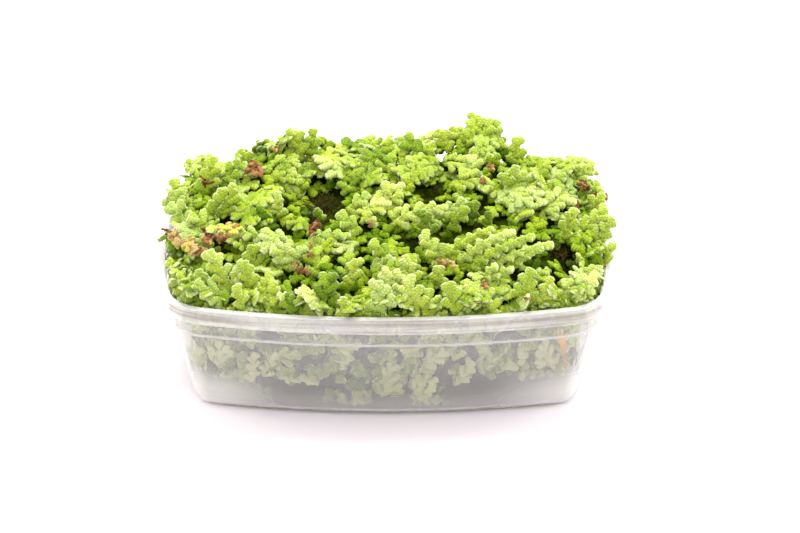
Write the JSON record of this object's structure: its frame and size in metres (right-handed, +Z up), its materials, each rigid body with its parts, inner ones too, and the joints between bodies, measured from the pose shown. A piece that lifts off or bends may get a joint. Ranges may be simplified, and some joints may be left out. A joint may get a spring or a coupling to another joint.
{
  "type": "mosquito fern in a clear tub",
  "caption": "Tangled mat of bright green mosquito fern heaped in a clear rectangular plastic tub with a skirted rim and tapering walls.",
  "frame": {"origin": "middle of the tub's footprint, on the surface that it stands on", "axes": "+X along the tub's long side, +Y from its front to its back, +Z up"},
  "size_m": [0.172, 0.12, 0.0824],
  "materials": {
    "clear_plastic": "clear, slightly milky",
    "packed_fern": "damp, matte",
    "frond_green": "matte, quilted",
    "frond_pale_green": "matte, quilted",
    "frond_deep_green": "matte, quilted"
  },
  "bodies": {
    "root": {"tub": "clear_plastic", "fern_mat": "packed_fern", "frond_01": "frond_pale_green", "frond_02": "frond_deep_green", "frond_03": "frond_green", "frond_04": "frond_pale_green", "frond_05": "frond_deep_green", "frond_06": "frond_green", "frond_07": "frond_pale_green", "frond_08": "frond_deep_green", "frond_09": "frond_green", "frond_10": "frond_pale_green", "frond_11": "frond_deep_green", "frond_12": "frond_green", "frond_13": "frond_pale_green", "frond_14": "frond_deep_green", "frond_15": "frond_green", "frond_16": "frond_pale_green", "frond_17": "frond_deep_green", "frond_18": "frond_green", "frond_19": "frond_pale_green", "frond_20": "frond_deep_green", "frond_21": "frond_green", "frond_22": "frond_pale_green", "frond_23": "frond_deep_green", "frond_24": "frond_green", "frond_25": "frond_pale_green", "frond_26": "frond_deep_green", "frond_27": "frond_green", "frond_28": "frond_pale_green", "frond_29": "frond_deep_green", "frond_30": "frond_green", "frond_31": "frond_pale_green", "frond_32": "frond_deep_green", "frond_33": "frond_green", "frond_34": "frond_pale_green", "frond_35": "frond_deep_green", "frond_36": "frond_green", "frond_37": "frond_pale_green", "frond_38": "frond_deep_green", "frond_39": "frond_green", "frond_40": "frond_pale_green", "frond_41": "frond_deep_green", "frond_42": "frond_green", "frond_43": "frond_pale_green", "frond_44": "frond_deep_green", "frond_45": "frond_green", "frond_46": "frond_pale_green", "frond_47": "frond_deep_green", "frond_48": "frond_green", "frond_49": "frond_pale_green", "frond_50": "frond_deep_green", "frond_51": "frond_green", "frond_52": "frond_pale_green", "frond_53": "frond_deep_green", "frond_54": "frond_green", "frond_55": "frond_pale_green", "frond_56": "frond_deep_green"}
  },
  "joints": []
}
